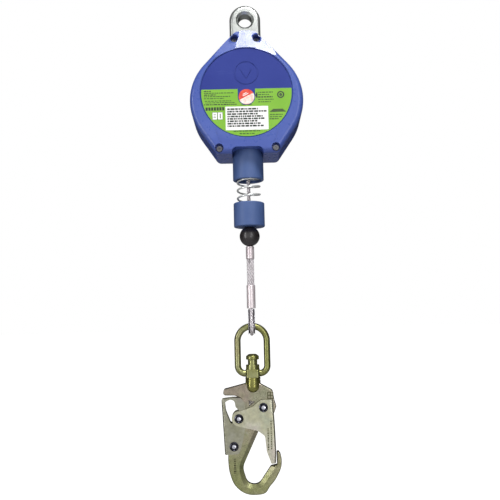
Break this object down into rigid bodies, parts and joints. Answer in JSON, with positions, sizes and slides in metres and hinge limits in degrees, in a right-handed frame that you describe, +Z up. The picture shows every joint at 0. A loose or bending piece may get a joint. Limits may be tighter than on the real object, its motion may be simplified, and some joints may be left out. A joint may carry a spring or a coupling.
{
  "type": "self retracting lifeline",
  "caption": "Fall arrest block: round clam-shell housing hung from an eye, wire rope leaving a sprung spout, ending in a swivel bail and locking snap hook.",
  "frame": {"origin": "centre of the anchor eye's hole", "axes": "+Z up towards the anchor, +Y to the rear of the housing along the eye's hole, +X to the right seen from the label side"},
  "size_m": [0.1418, 0.0625, 0.6153],
  "materials": {
    "shell_blue": "semi-gloss powder coat",
    "nozzle_blue": "satin moulded",
    "label_green": "printed film",
    "sticker_white": "printed",
    "sticker_red": "printed",
    "eye_steel": "satin",
    "screw_steel": "zinc plated",
    "frame_steel": "zinc plated",
    "drum_aluminium": "machined",
    "pawl_steel": "hardened",
    "bush_bronze": "machined",
    "lining_brown": "pressed fibre",
    "spring_steel": "oiled",
    "buffer_zinc": "zinc plated",
    "guide_plastic": "moulded",
    "rope_steel": "galvanised",
    "ball_black": "satin",
    "ferrule_tin": "pressed",
    "thimble_zinc": "zinc plated",
    "hook_zinc": "yellow zinc plated",
    "rivet_dark": "blackened"
  },
  "bodies": {
    "housing": {"front_shell": "shell_blue", "rear_shell": "shell_blue", "shell_screws": "screw_steel", "label_plate": "label_green", "data_sticker": "sticker_white", "inspection_sticker": "sticker_red", "anchor_eye": "eye_steel", "frame_plate_front": "frame_steel", "frame_plate_rear": "frame_steel", "frame_spacers": "frame_steel", "frame_bolts": "screw_steel", "suspension_bolt": "screw_steel", "suspension_nut": "screw_steel", "distance_bushes": "frame_steel", "axle": "frame_steel", "axle_rings": "frame_steel", "brake_ring": "pawl_steel", "friction_linings": "lining_brown", "clamp_ring": "frame_steel", "brake_screws": "screw_steel", "spring_case": "frame_steel", "power_spring": "spring_steel", "rope_guide": "guide_plastic", "spout": "nozzle_blue", "buffer_spring": "buffer_zinc", "rope_run": "rope_steel"},
    "drum": {"drum_bushes": "bush_bronze", "drum_hub": "drum_aluminium", "drum_flange_front": "drum_aluminium", "drum_flange_rear": "drum_aluminium", "drum_rivets": "screw_steel", "wound_rope": "rope_steel", "pawl_pins": "frame_steel", "pawl_springs": "spring_steel"},
    "pawl_upper": {"pawl_upper": "pawl_steel"},
    "pawl_lower": {"pawl_lower": "pawl_steel"},
    "sleeve": {"buffer_sleeve": "nozzle_blue"},
    "line_end": {"rope_end": "rope_steel", "stop_ball": "ball_black", "upper_ferrule": "ferrule_tin", "lower_ferrule": "ferrule_tin", "thimble": "thimble_zinc"},
    "bail": {"swivel_bail": "hook_zinc", "swivel_bush": "bush_bronze"},
    "hook": {"swivel_stud": "hook_zinc", "hook_body": "hook_zinc", "gate_rivet": "rivet_dark", "gate_spring": "spring_steel", "lever_rivet": "rivet_dark", "lever_spring": "spring_steel"},
    "gate": {"gate": "hook_zinc", "latch_pin": "rivet_dark"},
    "lever": {"lock_lever": "hook_zinc"}
  },
  "joints": [
    {"name": "lifeline_payout", "type": "slide", "parent": "housing", "child": "line_end", "axis": [0, 0, -1], "range_m": [0, 0.3226], "stiffness_N_per_m": 15, "springref_m": -1.5, "deforming": ["rope_run"]},
    {"name": "drum_spin", "type": "hinge", "parent": "housing", "child": "drum", "pos_m": [0, 0, -0.1036], "axis": [0, 1, 0], "range_deg": [-1, 391]},
    {"name": "pawl_upper_swing", "type": "hinge", "parent": "drum", "child": "pawl_upper", "pos_m": [0, 0, -0.0696], "axis": [0, -1, 0], "range_deg": [0, 15], "stiffness_Nm_per_rad": 0.02, "springref_deg": -17.19},
    {"name": "pawl_lower_swing", "type": "hinge", "parent": "drum", "child": "pawl_lower", "pos_m": [0, 0, -0.1376], "axis": [0, -1, 0], "range_deg": [0, 15], "stiffness_Nm_per_rad": 0.02, "springref_deg": -17.19},
    {"name": "buffer_stroke", "type": "slide", "parent": "housing", "child": "sleeve", "axis": [0, 0, 1], "range_m": [0, 0.022], "stiffness_N_per_m": 700, "springref_m": -0.01, "deforming": ["buffer_spring"]},
    {"name": "bail_swing", "type": "hinge", "parent": "line_end", "child": "bail", "pos_m": [0, 0, -0.3932], "axis": [1, 0, 0], "range_deg": [-80, 80]},
    {"name": "hook_swivel", "type": "hinge", "parent": "bail", "child": "hook", "pos_m": [0, 0, -0.445], "axis": [0, 0, 1], "continuous": true},
    {"name": "gate_open", "type": "hinge", "parent": "hook", "child": "gate", "pos_m": [0.012, 0, -0.4911], "axis": [0, 1, 0], "range_deg": [0, 17], "stiffness_Nm_per_rad": 0.4, "springref_deg": -22.92},
    {"name": "lever_press", "type": "hinge", "parent": "hook", "child": "lever", "pos_m": [-0.0245, 0, -0.5368], "axis": [0, 1, 0], "range_deg": [0, 8], "stiffness_Nm_per_rad": 0.4, "springref_deg": -22.92}
  ],
  "couplings": [
    {"joint": "drum_spin", "follows": "lifeline_payout", "rad_per_m": 21.097}
  ]
}
